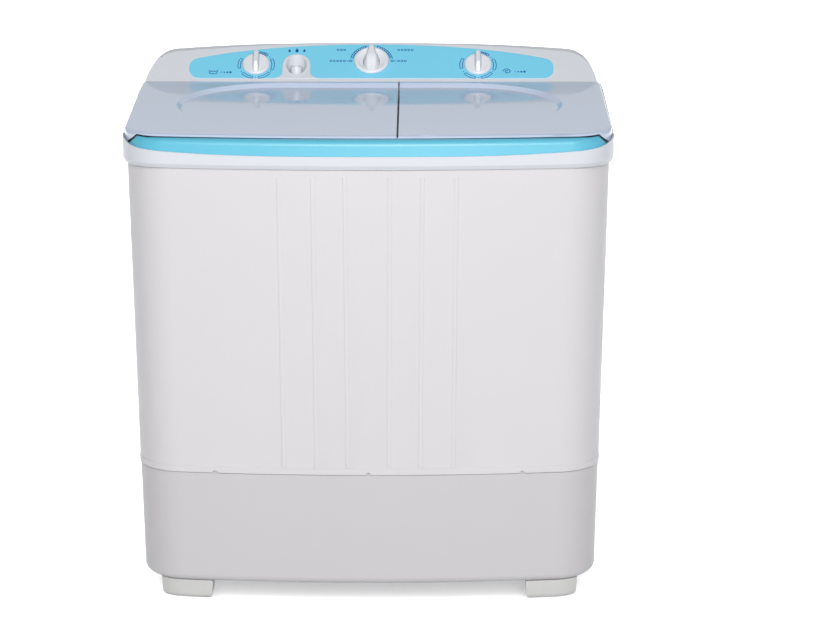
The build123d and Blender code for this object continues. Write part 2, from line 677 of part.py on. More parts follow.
def make_knobs():
    for name, knob in KNOBS.items():
        r, side = knob["r"], knob["box"]
        place = on_face(knob["x"], knob["v"])
        disc = Pos(0, 0, KNOB_LIFT) * extrude(Circle(r), 4.5)
        disc = fillet(disc.edges().sort_by(Axis.Z)[-1], 3)
        narrow, wide = (9.0, 9.0) if name != "mode" else (10.0, 19.0)
        tip = Pos(0, r - 1 - narrow / 2) * Circle(narrow / 2)
        tail = Pos(0, -r + 1 + wide / 2) * Circle(wide / 2)
        fin = Pos(0, 0, KNOB_LIFT) * extrude(make_hull(tip.edges() + tail.edges()), KNOB_H - KNOB_LIFT)
        fin = fillet(fin.faces().sort_by(Axis.Z)[-1].edges(), 2)
        grip = disc + fin - Pos(0, 0, 5) * Cylinder(SHAFT_R, 14)
        keep(name + "_knob", place * grip)
        shaft = Pos(0, 0, -11) * Cylinder(SHAFT_R, 46)
        keep(name + "_shaft", place * shaft)
        case = Pos(0, 0, -22) * Box(side, side, 28)
        case = fillet(case.edges().filter_by(Axis.Z), 4)
        case += Pos(0, 0, -4) * Cylinder(SNOUT_R, 10)
        case -= Pos(0, 0, -14) * Cylinder(SHAFT_R + RUNNING, 42)
        suffix = "_switch" if name == "mode" else "_box"
        keep(name + suffix, place * case)


# ---------------------------------------------------------------- wash side
def make_wash_tub():
    tub = between(tub_face, TUB_FLOOR_Z, TUB_TOP_Z)
    tub += extrude(tub_face(TUB_TOP_Z, -TUB_FLANGE), -4)
    tub -= between(tub_face, TUB_FLOOR_Z + WALL, TUB_TOP_Z + 1, WALL)
    tub -= rod(WASH_X, WASH_Y, TUB_FLOOR_Z - 5, TUB_FLOOR_Z + 5, 14.3)
    tub -= rod(VALVE_X, 130, TUB_FLOOR_Z - 5, TUB_FLOOR_Z + 5, 6)
    keep("wash_tub", tub)
    back_y = WASH_Y + WASH_D / 2 - WALL - 6
    body = box_between((-190, back_y - 16, 480), (-118, back_y, 650))
    body = fillet(body.edges().filter_by(Axis.Z), 6)
    heights = range(492, 630, 12)
    bars = [box_between((-182, back_y - 20, z), (-126, back_y - 11, z + 6)) for z in heights]
    body -= Compound(children=bars)
    hooks = [box_between((x, back_y - 1, 560), (x + 6, back_y + 3, 570)) for x in (-180, -134)]
    for hook in hooks:
        body += hook
    keep("lint_filter", body)


def make_pulsator():
    dish = turned(
        WASH_X,
        WASH_Y,
        [
            (0, PULSATOR_Z),
            (PULSATOR_R - 2, PULSATOR_Z),
            (PULSATOR_R, PULSATOR_Z + 4),
            (PULSATOR_R - 3, PULSATOR_Z + 9),
            (60, PULSATOR_Z + 8),
            (34, PULSATOR_Z + 22),
            (0, PULSATOR_Z + 28),
        ],
    )
    for step in range(6):
        vane = Pos(92, 0, PULSATOR_Z + 5) * extrude(SlotOverall(104, 14), 15)
        vane = fillet(vane.faces().sort_by(Axis.Z)[-1].edges(), 5)
        dish += Pos(WASH_X, WASH_Y, 0) * Rot(0, 0, 60 * step) * vane
    dish -= rod(WASH_X, WASH_Y, PULSATOR_Z - 1, PULSATOR_Z + 16, DRIVE_SHAFT_R)
    dish -= rod(WASH_X, WASH_Y, PULSATOR_Z, PULSATOR_Z + 40, 3)
    keep("pulsator", dish)
    top = PULSATOR_Z + 27
    screw = rod(WASH_X, WASH_Y, top - 24, top + 1, 3) + rod(WASH_X, WASH_Y, top + 0.9, top + 4, 9)
    screw -= Pos(WASH_X, WASH_Y, top + 4) * Box(14, 2, 3)
    keep("pulsator_screw", screw)
    shaft = rod(WASH_X, WASH_Y, PULLEY_Z - 2, PULSATOR_Z + 16, DRIVE_SHAFT_R)
    shaft -= rod(WASH_X, WASH_Y, top - 24, PULSATOR_Z + 20, 3)
    keep("pulsator_shaft", shaft)
    housing = turned(
        WASH_X,
        WASH_Y,
        [
            (DRIVE_SHAFT_R + RUNNING, 214),
            (24, 214),
            (30, 220),
            (30, 316),
            (58, 320),
            (58, TUB_FLOOR_Z),
            (14, TUB_FLOOR_Z),
            (14, TUB_FLOOR_Z + 11),
            (DRIVE_SHAFT_R + RUNNING, TUB_FLOOR_Z + 11),
        ],
    )
    keep("bearing_housing", housing)


def pulley(x, y, radius, bore, holes):
    """Flat pulley with two flanges."""
    low, high = PULLEY_Z, PULLEY_Z + PULLEY_W
    wheel = rod(x, y, low, high, radius)
    wheel += rod(x, y, low, low + 2, radius + 6) + rod(x, y, high - 2, high, radius + 6)
    hole = rod(radius * 0.6, 0, low - 1, high + 1, radius * 0.2)
    for step in range(holes):
        wheel -= Pos(x, y, 0) * Rot(0, 0, 360 / holes * step) * hole
    return wheel - rod(x, y, low - 1, high + 1, bore)


def make_wash_drive():
    keep("large_pulley", pulley(WASH_X, WASH_Y, PULLEY_R, DRIVE_SHAFT_R, 6))
    keep("motor_pulley", pulley(WASH_MOTOR_X, WASH_MOTOR_Y, MOTOR_PULLEY_R, 6.0, 0))
    loops = []
    for gap in (6.0, 0.4):
        big = Pos(WASH_X, WASH_Y) * Circle(PULLEY_R + gap)
        small = Pos(WASH_MOTOR_X, WASH_MOTOR_Y) * Circle(MOTOR_PULLEY_R + gap)
        loops.append(make_hull(big.edges() + small.edges()))
    belt = Pos(0, 0, PULLEY_Z + 3) * extrude(loops[0] - loops[1], PULLEY_W - 6)
    keep("drive_belt", belt)
    plate_z, motor_low, motor_high = 206.0, 216.0, 318.0
    plate = Pos(WASH_MOTOR_X, WASH_MOTOR_Y, plate_z) * extrude(RectangleRounded(116, 116, 8), 3)
    plate -= rod(WASH_MOTOR_X, WASH_MOTOR_Y, plate_z - 1, plate_z + 5, 12)
    for dx in (-50, 50):
        for dy in (-50, 50):
            plate += rod(WASH_MOTOR_X + dx, WASH_MOTOR_Y + dy, plate_z, TUB_FLOOR_Z, 5)
    plate += tube(WASH_MOTOR_X, WASH_MOTOR_Y, plate_z, motor_low, 30, 24)
    keep("motor_bracket", plate)
    motor = turned(
        WASH_MOTOR_X,
        WASH_MOTOR_Y,
        [
            (6 + RUNNING, motor_low),
            (36, motor_low),
            (40, motor_low + 14),
            (WASH_MOTOR_R, motor_low + 20),
            (WASH_MOTOR_R, motor_high - 26),
            (42, motor_high - 20),
            (36, motor_high - 4),
            (14, motor_high),
            (6 + RUNNING, motor_high),
        ],
    )
    keep("wash_motor", motor)
    keep("motor_shaft", rod(WASH_MOTOR_X, WASH_MOTOR_Y, PULLEY_Z - 2, motor_high - 2, 6))


# ---------------------------------------------------------------- spin side
def make_spin_tub():
    tub = rod(SPIN_X, SPIN_Y, TUB_FLOOR_Z, TUB_TOP_Z, SPIN_R)
    tub += rod(SPIN_X, SPIN_Y, TUB_TOP_Z - 4, TUB_TOP_Z, SPIN_R + 14)
    tub -= rod(SPIN_X, SPIN_Y, TUB_FLOOR_Z + WALL, TUB_TOP_Z + 1, SPIN_R - WALL)
    tub += rod(130, 60, TUB_FLOOR_Z - 6, TUB_FLOOR_Z, 12)
    tub += rod(130, 60, TUB_FLOOR_Z - 24, TUB_FLOOR_Z, HOSE_BORE_R - 0.1)
    tub -= rod(130, 60, TUB_FLOOR_Z - 25, TUB_FLOOR_Z + 5, 5.5)
    tub -= rod(SPIN_X, SPIN_Y, TUB_FLOOR_Z - 1, TUB_FLOOR_Z + 5, 20)
    keep("spin_tub", tub)
    seal = turned(
        SPIN_X,
        SPIN_Y,
        [
            (SPIN_SHAFT_R + RUNNING, 316),
            (16, 316),
            (26, 324),
            (26, TUB_FLOOR_Z),
            (20, TUB_FLOOR_Z),
            (20, TUB_FLOOR_Z + WALL),
            (26, TUB_FLOOR_Z + WALL),
            (12, TUB_FLOOR_Z + 9),
            (SPIN_SHAFT_R + RUNNING, TUB_FLOOR_Z + 9),
        ],
    )
    keep("spin_seal", seal)


def make_basket():
    rows, columns = 7, 14
    basket = turned(
        SPIN_X,
        SPIN_Y,
        [
            (SPIN_SHAFT_R, BASKET_Z - 8),
            (20, BASKET_Z - 8),
            (24, BASKET_Z),
            (BASKET_R - 8, BASKET_Z),
            (BASKET_R, BASKET_Z + 8),
            (BASKET_R, BASKET_TOP_Z),
            (BASKET_R - WALL, BASKET_TOP_Z),
            (BASKET_R - WALL, BASKET_Z + 9),
            (BASKET_R - 9, BASKET_Z + 4),
            (30, BASKET_Z + 4),
            (18, BASKET_Z + 28),
            (SPIN_SHAFT_R, BASKET_Z + 28),
        ],
    )
    holes = []
    for row in range(rows):
        for column in range(columns):
            turn = 360 / columns * (column + 0.5 * (row % 2))
            hole = Rot(0, 0, turn) * rod_x(0, BASKET_Z + 30 + 42 * row, BASKET_R - 8, BASKET_R + 4, 3)
            holes.append(Pos(SPIN_X, SPIN_Y, 0) * hole)
    for step in range(12):
        hole = Rot(0, 0, 30 * step) * rod(70, 0, BASKET_Z - 2, BASKET_Z + 6, 5)
        holes.append(Pos(SPIN_X, SPIN_Y, 0) * hole)
    basket -= Compound(children=holes)
    keep("spin_basket", basket)
    low, high = BASKET_TOP_Z, BASKET_TOP_Z + 18
    ring = tube(SPIN_X, SPIN_Y, low, high, BASKET_R + 5, BASKET_R - 14)
    keep("balance_ring", fillet(ring.faces().sort_by(Axis.Z)[-1].edges(), 6))
    plate_z = BASKET_Z + 36
    plate = rod(SPIN_X, SPIN_Y, plate_z, plate_z + 4, BASKET_R - 9)
    plate += tube(SPIN_X, SPIN_Y, plate_z, plate_z + 10, BASKET_R - 9, BASKET_R - 12)
    plate += tube(SPIN_X, SPIN_Y, plate_z, plate_z + 10, 30, 27)
    for radius, count in ((50, 8), (82, 14)):
        for step in range(count):
            hole = Rot(0, 0, 360 / count * step) * rod(radius, 0, plate_z - 1, plate_z + 5, 6)
            plate -= Pos(SPIN_X, SPIN_Y, 0) * hole
    keep("press_plate", plate)


def make_spin_drive():
    keep("spin_shaft", rod(SPIN_X, SPIN_Y, 150, BASKET_Z + 28, SPIN_SHAFT_R))
    drum = turned(
        SPIN_X,
        SPIN_Y,
        [
            (SPIN_SHAFT_R, DRUM_Z),
            (DRUM_R, DRUM_Z),
            (DRUM_R, DRUM_Z + 30),
            (DRUM_R - 5, DRUM_Z + 30),
            (DRUM_R - 5, DRUM_Z + 6),
            (14, DRUM_Z + 6),
            (14, DRUM_Z + 30),
            (SPIN_SHAFT_R, DRUM_Z + 30),
        ],
    )
    keep("brake_drum", drum)
    low, high = 75.0, SPIN_MOTOR_TOP_Z
    motor = turned(
        SPIN_X,
        SPIN_Y,
        [
            (0, low),
            (50, low),
            (54, low + 10),
            (54, low + 30),
            (SPIN_MOTOR_R, low + 34),
            (SPIN_MOTOR_R, high - 34),
            (54, high - 30),
            (54, high - 10),
            (40, high),
            (0, high),
        ],
    )
    motor -= rod(SPIN_X, SPIN_Y, 149, high + 1, SPIN_SHAFT_R + RUNNING)
    keep("spin_motor", motor)
    mounts = []
    for step in range(3):
        points = [(0, PAN_TOP_Z), (13, PAN_TOP_Z)]
        for turn in range(4):
            points += [(13, 44 + 8 * turn), (9, 46 + 8 * turn), (9, 48 + 8 * turn), (13, 50 + 8 * turn)]
        points = points[:-1] + [(13, low), (0, low)]
        angle = radians(120 * step + 90)
        mounts.append(turned(SPIN_X + 36 * cos(angle), SPIN_Y + 36 * sin(angle), points))
    keep("motor_mounts", Compound(children=mounts))
    high = SPIN_MOTOR_TOP_Z
    arm_length = ((BRAKE_X - SPIN_X) ** 2 + (BRAKE_Y - SPIN_Y) ** 2) ** 0.5
    arm_turn = degrees(atan2(BRAKE_Y - SPIN_Y, BRAKE_X - SPIN_X))
    bracket = rod(SPIN_X, SPIN_Y, high, high + 3, 38)
    arm = box_between((20, -10, high), (arm_length + 10, 10, high + 3))
    arm = Pos(SPIN_X, SPIN_Y, 0) * Rot(0, 0, arm_turn) * arm
    bracket += arm + rod(BRAKE_X, BRAKE_Y, high, 232, 4) + rod(BRAKE_X, BRAKE_Y, high, 211.5, 8)
    bracket -= rod(SPIN_X, SPIN_Y, high - 1, high + 5, 12)
    keep("brake_bracket", bracket)
    pad_gap, pad_t = 9.2, 8.0
    pad_y = SPIN_Y + DRUM_R + pad_gap
    pad = box_between((SPIN_X - 9, pad_y, 214), (SPIN_X + 9, pad_y + pad_t, 226))
    keep("brake_pad", pad)
    arm_y = pad_y + pad_t
    lever = box_between((SPIN_X - 10, arm_y, 212), (BRAKE_X + 6, arm_y + 5, 228))
    lever += box_between((BRAKE_X - 6, BRAKE_Y, 212), (BRAKE_X + 6, arm_y + 1, 228))
    lever += rod(BRAKE_X, BRAKE_Y, 212, 228, 9)
    lever -= rod(BRAKE_X, BRAKE_Y, 200, 240, 4 + RUNNING)
    keep("brake_lever", lever)


# ---------------------------------------------------------------- water and wiring
def make_drain():
    low, seat_z = 262.0, 286.0
    valve = rod(VALVE_X, VALVE_Y, low, TUB_FLOOR_Z, 16)
    valve += rod_y(VALVE_X, DRAIN_PIPE_Z, 130, VALVE_Y - 10, 9)
    elbow = Pos(VALVE_X, 130, DRAIN_PIPE_Z)
    valve += rod(VALVE_X, 130, DRAIN_PIPE_Z, TUB_FLOOR_Z, 9) + elbow * Sphere(9)
    valve += rod(VALVE_X, VALVE_Y, low - 14, low, HOSE_BORE_R - 0.1)
    valve += rod_x(VALVE_Y, 274, VALVE_X, VALVE_X + 30, HOSE_BORE_R - 0.1)
    valve -= rod(VALVE_X, VALVE_Y, seat_z, TUB_FLOOR_Z + 1, VALVE_BORE_R)
    valve -= rod(VALVE_X, VALVE_Y, low - 15, seat_z + 1, 5.5)
    valve -= rod_x(VALVE_Y, 274, VALVE_X, VALVE_X + 31, 5.5)
    valve -= rod_y(VALVE_X, DRAIN_PIPE_Z, 130, VALVE_Y, 6)
    valve -= rod(VALVE_X, 130, DRAIN_PIPE_Z, TUB_FLOOR_Z + 1, 6) + elbow * Sphere(6)
    keep("drain_valve_body", valve)
    plunger = turned(
        VALVE_X,
        VALVE_Y,
        [
            (0, seat_z),
            (12, seat_z),
            (12, seat_z + 5),
            (4, seat_z + 5),
            (4, 308),
            (12, 308),
            (12, 336),
            (0, 336),
        ],
    )
    keep("drain_plunger", plunger)
    strap = box_between((VALVE_X - 5, VALVE_Y - 1, 336), (VALVE_X + 5, VALVE_Y + 1, 735))
    strap += rod_y(VALVE_X, 735, VALVE_Y - 1, VALVE_Y + 1, 8)
    strap -= rod_y(VALVE_X, 735, VALVE_Y - 5, VALVE_Y + 5, 4)
    keep("drain_strap", strap)
    wall_y = OUTLET_WALL_Y
    outlet = rod_y(OUTLET_X, OUTLET_Z, wall_y - 6, wall_y + 28, OUTLET_R)
    outlet += rod_y(OUTLET_X, OUTLET_Z, wall_y, wall_y + 3, 20)
    outlet += rod_y(OUTLET_X, OUTLET_Z, wall_y - 20, wall_y - 6, HOSE_BORE_R - 0.1)
    outlet -= rod_y(OUTLET_X, OUTLET_Z, wall_y - 21, wall_y + 30, 5.5)
    keep("drain_outlet", outlet)
    hose_points = [
        (VALVE_X, VALVE_Y, low),
        (VALVE_X, VALVE_Y, 190),
        (-110, 150, OUTLET_Z),
        (OUTLET_X, 110, OUTLET_Z),
        (OUTLET_X, wall_y - 6, OUTLET_Z),
    ]
    keep("drain_hose", pipe(hose_points, (45, 60, 30), HOSE_R, HOSE_BORE_R))
    spin_points = [
        (130, 60, TUB_FLOOR_Z - 6),
        (130, 60, 274),
        (130, VALVE_Y, 274),
        (VALVE_X + 16, VALVE_Y, 274),
    ]
    keep("spin_drain_hose", pipe(spin_points, (30, 45), HOSE_R, HOSE_BORE_R))


def make_electrics():
    gland = rod_y(GLAND_X, GLAND_Z, BACK_WALL_Y - 17, BACK_WALL_Y + 3, 9)
    gland += rod_y(GLAND_X, GLAND_Z, BACK_WALL_Y, BACK_WALL_Y + 3, 13)
    gland += rod_y(GLAND_X, GLAND_Z, BACK_WALL_Y - 8, BACK_WALL_Y - 3, 13)
    gland -= rod_y(GLAND_X, GLAND_Z, BACK_WALL_Y - 18, BACK_WALL_Y + 4, 4)
    keep("cord_gland", gland)
    cans = []
    for x in (70, 114):
        can = rod(x, 130, PAN_TOP_Z, 112, 18)
        can = fillet(can.edges().sort_by(Axis.Z)[-1], 3)
        cans.append(can + rod(x - 6, 130, 111, 120, 2) + rod(x + 6, 130, 111, 120, 2))
    keep("capacitors", Compound(children=cans))
    spin = KNOBS["spin_timer"]
    side_x = spin["x"] + spin["box"] / 2
    socket = (on_face(side_x, spin["v"], -22)).position
    route = [
        (GLAND_X, BACK_WALL_Y - 17, GLAND_Z),
        (GLAND_X, 160, GLAND_Z),
        (330, 160, 150),
        (330, 176, 700),
        (330, socket.Y, socket.Z),
        (side_x, socket.Y, socket.Z),
    ]
    keep("wiring_loom", pipe(route, (12, 20, 40, 20), 4, 1))


# ---------------------------------------------------------------- make and write every piece
def main():
    os.makedirs("parts", exist_ok=True)
    makers = (
        make_feet,
        make_base,
        make_base_pan,
        make_hose_recess,
        make_cabinet,
        make_rear_panel,
        make_top_frame,
        make_front_trim,
        make_lids,
        make_console,
        make_fascia,
        make_inlet,
        make_knobs,
        make_wash_tub,
        make_pulsator,
        make_wash_drive,
        make_spin_tub,
        make_basket,
        make_spin_drive,
        make_drain,
        make_electrics,
    )
    for make in makers:
        make()
    for name, shape in PARTS.items():
        export_step(shape, "parts/" + name + ".step")
    print(len(PARTS), "pieces written")


if __name__ == "__main__":
    main()
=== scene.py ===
import bmesh
import bpy
import json
from math import cos, hypot, pi, radians, sin, sqrt
from mathutils import Matrix, Vector


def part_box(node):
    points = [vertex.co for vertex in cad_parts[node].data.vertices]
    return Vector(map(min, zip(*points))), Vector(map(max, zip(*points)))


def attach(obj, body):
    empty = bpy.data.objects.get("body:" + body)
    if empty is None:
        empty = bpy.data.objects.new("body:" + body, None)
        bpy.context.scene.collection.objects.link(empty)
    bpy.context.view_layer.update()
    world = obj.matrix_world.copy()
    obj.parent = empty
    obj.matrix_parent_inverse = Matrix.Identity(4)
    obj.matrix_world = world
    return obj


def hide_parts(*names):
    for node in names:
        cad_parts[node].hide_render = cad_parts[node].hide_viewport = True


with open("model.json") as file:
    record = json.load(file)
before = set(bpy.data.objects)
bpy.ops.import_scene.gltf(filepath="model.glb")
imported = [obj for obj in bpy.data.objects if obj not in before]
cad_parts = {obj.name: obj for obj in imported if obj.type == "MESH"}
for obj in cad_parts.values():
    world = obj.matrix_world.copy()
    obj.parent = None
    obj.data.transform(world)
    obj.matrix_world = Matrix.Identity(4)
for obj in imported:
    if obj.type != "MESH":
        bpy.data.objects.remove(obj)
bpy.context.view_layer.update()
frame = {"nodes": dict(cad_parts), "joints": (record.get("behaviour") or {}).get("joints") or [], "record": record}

# ---------------------------------------------------------------- places read from the frame
NODES = frame["nodes"]
SLOT_OF = {s["node"]: s["material_slot"] for s in frame["record"]["subparts"]}
JOINT = {j["name"]: j for j in frame["joints"]}
MM = 0.001


def joint_place(name):
    """Matrix of a joint: its local Z is the joint's axis and local Y is as near up as it can be."""
    axis = Vector(JOINT[name]["axis"]).normalized()
    across = Vector((1, 0, 0))
    up = axis.cross(across).normalized()
    return Matrix.Translation(JOINT[name]["pos_m"]) @ Matrix((across, up, axis)).transposed().to_4x4()


# ---------------------------------------------------------------- materials
BROAD_SCALE = 9.0
PATCH_SCALE = 45.0
GRAIN_DEPTH = 0.1 * MM
BRUSH = (1.0, 1.0, 12.0)
# the middle of a noise's range, where nearly all its values lie
NOISE_LOW = 0.3
NOISE_HIGH = 0.7


def new_material(name):
    material = bpy.data.materials.new(name)
    material.use_nodes = True
    tree = material.node_tree
    shader = tree.nodes["Principled BSDF"]
    coords = tree.nodes.new("ShaderNodeTexCoord")
    return material, tree, shader, coords.outputs["Object"]


def noise(tree, coords, scale, detail=3.0, stretch=None):
    """Noise of a given scale; stretch squeezes it along the axes."""
    source = coords
    if stretch:
        mapping = tree.nodes.new("ShaderNodeMapping")
        mapping.inputs["Scale"].default_value = stretch
        tree.links.new(coords, mapping.inputs["Vector"])
        source = mapping.outputs["Vector"]
    node = tree.nodes.new("ShaderNodeTexNoise")
    node.inputs["Scale"].default_value = scale
    node.inputs["Detail"].default_value = detail
    tree.links.new(source, node.inputs["Vector"])
    return node.outputs["Fac"]


def ramp(tree, factor, low, high):
    """Colour that goes from low to high across a noise's middle range."""
    node = tree.nodes.new("ShaderNodeValToRGB")
    node.color_ramp.elements[0].position = NOISE_LOW
    node.color_ramp.elements[1].position = NOISE_HIGH
    node.color_ramp.elements[0].color = (*low, 1)
    node.color_ramp.elements[1].color = (*high, 1)
    tree.links.new(factor, node.inputs["Fac"])
    return node.outputs["Color"]


def spread(tree, factor, low, high):
    """Number that goes from low to high across a noise's middle range."""
    node = tree.nodes.new("ShaderNodeMapRange")
    node.inputs["From Min"].default_value = NOISE_LOW
    node.inputs["From Max"].default_value = NOISE_HIGH
    node.inputs["To Min"].default_value = low
    node.inputs["To Max"].default_value = high
    tree.links.new(factor, node.inputs["Value"])
    return node.outputs["Result"]


def bump(tree, height, strength, distance):
    node = tree.nodes.new("ShaderNodeBump")
    node.inputs["Strength"].default_value = strength
    node.inputs["Distance"].default_value = distance
    tree.links.new(height, node.inputs["Height"])
    return node.outputs["Normal"]


def tinted(colour, amount):
    return tuple(min(max(c * (1 + amount), 0), 1) for c in colour)


def surface(name, colour, rough, vary=0.02, rough_vary=0.04, grain=900.0, relief=0.05, stretch=None):
    """Common base: slight colour variation, uneven roughness and a fine moulded or cast grain."""
    material, tree, shader, coords = new_material(name)
    broad = noise(tree, coords, BROAD_SCALE, 4.0)
    shade = ramp(tree, broad, tinted(colour, -vary), tinted(colour, vary))
    tree.links.new(shade, shader.inputs["Base Color"])
    patchy = noise(tree, coords, PATCH_SCALE, 3.0, stretch)
    rough_low = max(rough - rough_vary, 0.02)
    tree.links.new(spread(tree, patchy, rough_low, rough + rough_vary), shader.inputs["Roughness"])
    fine = noise(tree, coords, grain, 2.0, stretch)
    tree.links.new(bump(tree, fine, relief, GRAIN_DEPTH), shader.inputs["Normal"])
    return material, shader


def plastic(name, colour, rough=0.3, coat=0.0, coat_rough=0.05, ior=1.48, **more):
    material, shader = surface(name, colour, rough, **more)
    shader.inputs["IOR"].default_value = ior
    shader.inputs["Coat Weight"].default_value = coat
    shader.inputs["Coat Roughness"].default_value = coat_rough
    return material


def metal(name, colour, rough=0.35, **more):
    material, shader = surface(name, colour, rough, **more)
    shader.inputs["Metallic"].default_value = 1.0
    return material


MATERIALS = {
    "white_abs": plastic("white_abs", (0.73, 0.755, 0.80), 0.30, vary=0.004, rough_vary=0.015, relief=0.02),
    "cabinet_white": plastic(
        "cabinet_white", (0.73, 0.708, 0.725), 0.42, vary=0.005, rough_vary=0.02, grain=700
    ),
    "base_grey": plastic("base_grey", (0.63, 0.608, 0.622), 0.44, vary=0.006, rough_vary=0.02, grain=700),
    "foot_grey": plastic("foot_grey", (0.67, 0.665, 0.65), 0.5, vary=0.02, grain=500, relief=0.08),
    "lid_lavender": plastic(
        "lid_lavender", (0.60, 0.685, 0.85), 0.07,
        coat=0.3, coat_rough=0.02, vary=0.006, rough_vary=0.01, relief=0.005,
    ),
    "trim_blue": plastic(
        "trim_blue", (0.135, 0.56, 0.74), 0.34, coat=0.08, vary=0.01, rough_vary=0.01, relief=0.004
    ),
    "fascia_blue": plastic(
        "fascia_blue", (0.225, 0.70, 0.92), 0.26, coat=0.15, vary=0.003, rough_vary=0.01, relief=0.004
    ),
    "knob_white": plastic("knob_white", (0.79, 0.81, 0.85), 0.26, vary=0.008, rough_vary=0.02, relief=0.02),
    "ink_blue": plastic("ink_blue", (0.004, 0.075, 0.36), 0.35, vary=0.05, relief=0.02),
    "tub_white": plastic("tub_white", (0.74, 0.77, 0.80), 0.32, vary=0.02),
    "pulsator_blue": plastic("pulsator_blue", (0.25, 0.50, 0.72), 0.3, vary=0.03),
    "basket_grey": plastic("basket_grey", (0.56, 0.60, 0.65), 0.3, vary=0.02),
    "steel": metal("steel", (0.60, 0.60, 0.61), 0.28, grain=300, stretch=BRUSH, relief=0.1),
    "zinc": metal("zinc", (0.33, 0.34, 0.35), 0.62, vary=0.05, rough_vary=0.05, grain=200, relief=0.08),
    "motor_steel": plastic("motor_steel", (0.07, 0.075, 0.085), 0.45, vary=0.1, grain=400, relief=0.2),
    "cast_aluminium": metal("cast_aluminium", (0.60, 0.61, 0.62), 0.5, vary=0.05, grain=600, relief=0.35),
    "black_rubber": plastic("black_rubber", (0.018, 0.018, 0.02), 0.62, vary=0.15, grain=500, relief=0.2),
    "grey_hose": plastic("grey_hose", (0.12, 0.125, 0.135), 0.5, vary=0.08, grain=300, relief=0.2),
    "black_plastic": plastic("black_plastic", (0.022, 0.022, 0.025), 0.42, vary=0.1, grain=600, relief=0.15),
    "switch_black": plastic("switch_black", (0.03, 0.03, 0.034), 0.45, vary=0.1, grain=600, relief=0.15),
    "can_aluminium": metal(
        "can_aluminium", (0.68, 0.69, 0.70), 0.33, vary=0.04, grain=300, stretch=BRUSH, relief=0.1
    ),
}


def paint(obj, name):
    """One material all over a piece."""
    obj.data.materials.clear()
    obj.data.materials.append(MATERIALS[name])
    return obj


for node, obj in NODES.items():
    paint(obj, SLOT_OF[node])


# ---------------------------------------------------------------- mesh helpers
def solid(name, bm, body, slot, place=None, smooth=True):
    """Closed piece made from a bmesh, put in place and tied to a body."""
    bmesh.ops.recalc_face_normals(bm, faces=bm.faces)
    mesh = bpy.data.meshes.new(name)
    bm.to_mesh(mesh)
    bm.free()
    if place:
        mesh.transform(place)
    for face in mesh.polygons:
        face.use_smooth = smooth
    obj = bpy.data.objects.new(name, mesh)
    bpy.context.scene.collection.objects.link(obj)
    paint(obj, slot)
    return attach(obj, body)


def skin(bm, rows, capped=True):
    """Surface through rows of points, each of them a closed loop."""
    loops = [[bm.verts.new(point) for point in row] for row in rows]
    count = len(loops[0])
    for near, far in zip(loops, loops[1:]):
        for i in range(count):
            j = (i + 1) % count
            bm.faces.new((near[i], near[j], far[j], far[i]))
    if capped:
        bm.faces.new(loops[0][::-1])
        bm.faces.new(loops[-1])


def local_points(node, place):
    """Vertices of a CAD node in the frame of a joint."""
    inverse = place.inverted()
    return [inverse @ v.co for v in NODES[node].data.vertices]


# ---------------------------------------------------------------- knobs
DISC_THICK = 5.2 * MM
DISC_EDGE_LOW = 1.2 * MM
DISC_TURNS = 160
DISC_RINGS = 48
GRIP_FOOT = 2.0 * MM
GRIP_SHOULDER = 3.0 * MM
GRIP_STEPS = 40
GRIP_SECTION = 24
GRIP_SQUARENESS = 0.42
GRIP_FLARE = 0.55


def smooth_step(low, high, value):
    """0 below low and 1 above high, with an even rise between; low may be the larger of the two."""
    t = min(max((value - low) / (high - low), 0.0), 1.0)
    return t * t * (3 - 2 * t)


def knob_disc(name, body, node, place, edge, scoop):
    """Low turned disc with a rounded rim and, if scoop is set, a hollow on each side of the grip."""
    points = local_points(node, place)
    radius = max(p.x for p in points)
    low = min(p.z for p in points)
    top = low + DISC_THICK
    foot = low + DISC_EDGE_LOW
    profile = [(radius - 1.5 * MM, low), (radius - 0.3 * MM, low + 0.4 * MM)]
    for step in range(9):
        angle = radians(11.25 * step)
        profile.append((radius - edge * (1 - cos(angle)), foot + (top - foot) * sin(angle)))
    for step in range(1, DISC_RINGS):
        profile.append(((radius - edge) * (1 - step / DISC_RINGS), top))
    rows = []
    for ring, height in profile:
        row = []
        for i in range(DISC_TURNS):
            turn = 2 * pi * i / DISC_TURNS
            x, y = ring * cos(turn), ring * sin(turn)
            dip = 0.0
            if height >= top - 0.01 * MM:
                beside_grip = smooth_step(0.12, 0.34, abs(x) / radius)
                dip = scoop * beside_grip * (1 - smooth_step(0.60, 0.86, ring / radius))
            row.append((x, y, height - dip))
        rows.append(row)
    bm = bmesh.new()
    skin(bm, rows)
    return solid(name, bm, body, "knob_white", place)


def knob_fin(name, body, node, place, half_width, top_of, high_end, low_end):
    """Upright grip across a knob: half_width and top_of give its shape from y over the radius."""
    points = local_points(node, place)
    radius = max(p.x for p in points)
    low, high = min(p.z for p in points), max(p.z for p in points)
    foot = low + GRIP_FOOT
    shoulder = low + GRIP_SHOULDER
    rows = []
    for step in range(GRIP_STEPS + 1):
        t = step / GRIP_STEPS
        along = low_end + (high_end - low_end) * t
        end = min(t, 1 - t) * GRIP_STEPS / 5
        pinch = sqrt(max(1 - (1 - min(end, 1.0)) ** 2, 0.02))
        half = half_width(along) * pinch
        crest = shoulder + (high - shoulder) * top_of(along) * (0.55 + 0.45 * pinch)
        row = []
        for i in range(GRIP_SECTION + 1):
            turn = pi * i / GRIP_SECTION
            sign = 1 if cos(turn) >= 0 else -1
            x = sign * half * abs(cos(turn)) ** GRIP_SQUARENESS
            lift = sin(turn) ** GRIP_SQUARENESS
            flare = 1.0 + GRIP_FLARE * (1 - lift) ** 3
            row.append((x * flare, radius * along, foot + (crest - foot) * lift))
        rows.append(row)
    bm = bmesh.new()
    skin(bm, rows)
    return solid(name, bm, body, "knob_white", place)


